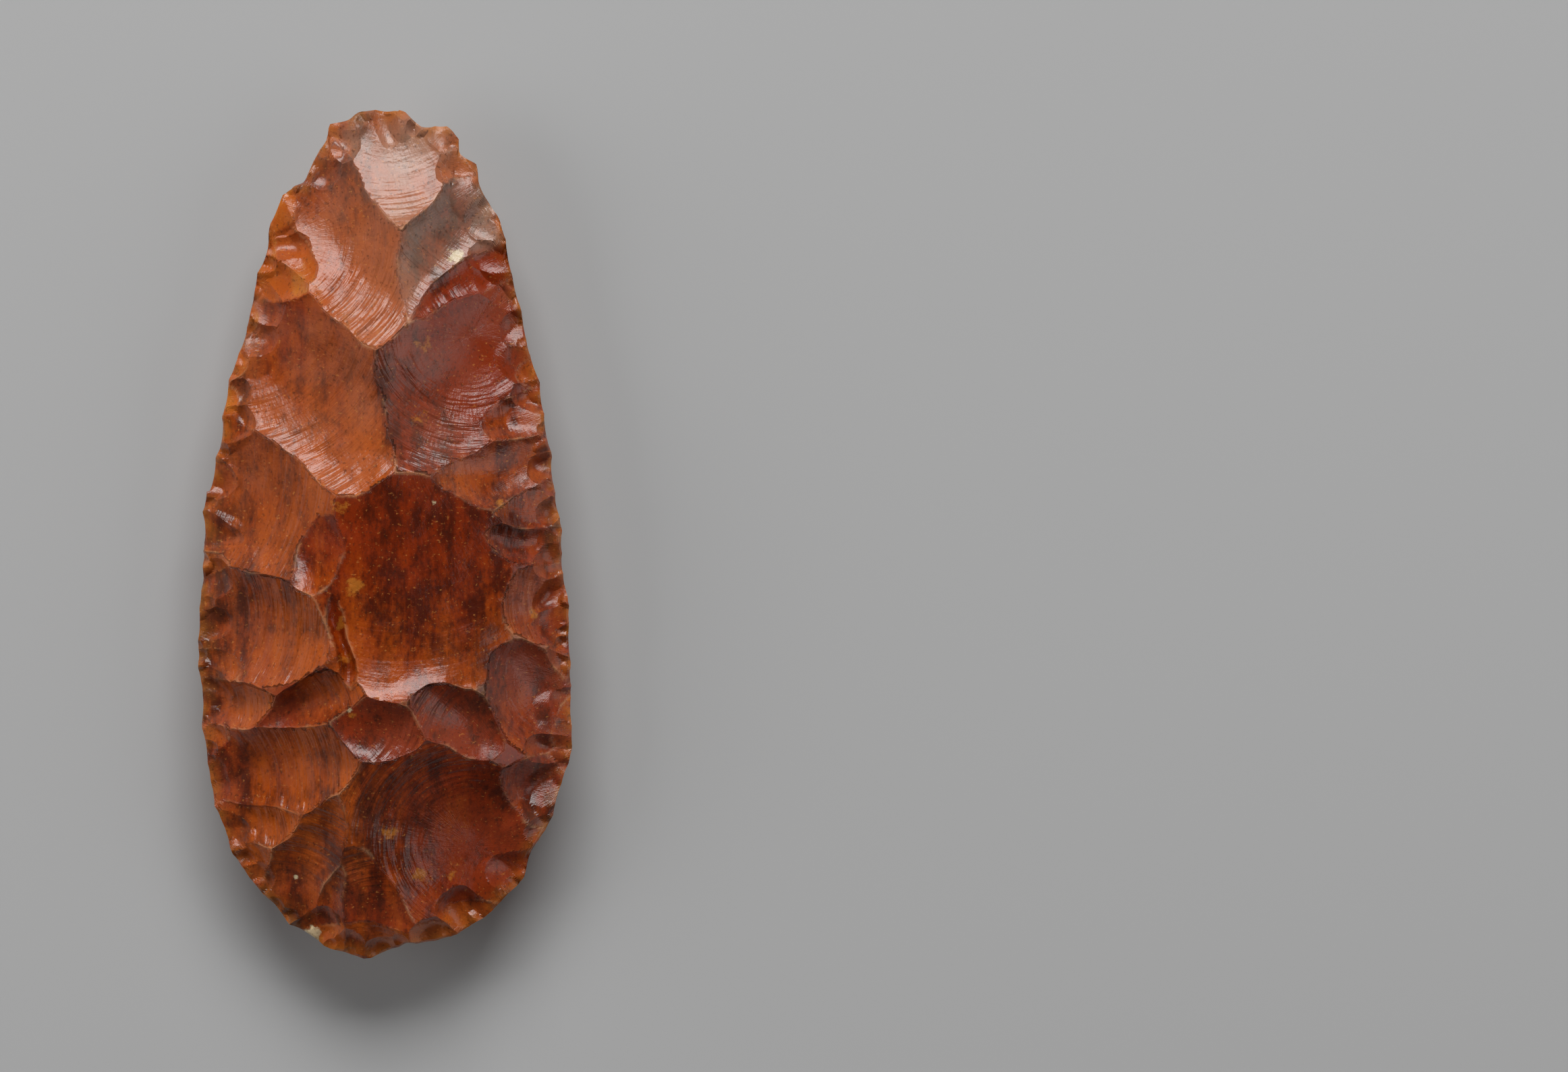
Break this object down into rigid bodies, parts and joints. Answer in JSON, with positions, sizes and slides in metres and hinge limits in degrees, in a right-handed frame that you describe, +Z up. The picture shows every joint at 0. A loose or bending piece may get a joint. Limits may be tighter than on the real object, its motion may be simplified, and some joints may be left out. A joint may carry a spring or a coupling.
{
  "type": "stone hand axe",
  "caption": "Large pointed-oval flint hand axe, flaked on both faces to a wavy cutting edge all round, lying flat on its back face.",
  "frame": {"origin": "middle of the outline, on the plane the axe lies on", "axes": "+Y towards the pointed end, +X across to the right seen from above, +Z up out of the upper face"},
  "size_m": [0.1058, 0.2392, 0.0466],
  "materials": {
    "flint": "glossy honey-brown to dark red-brown flint with greyer scars"
  },
  "bodies": {
    "root": {"hand_axe": "flint"}
  },
  "joints": []
}
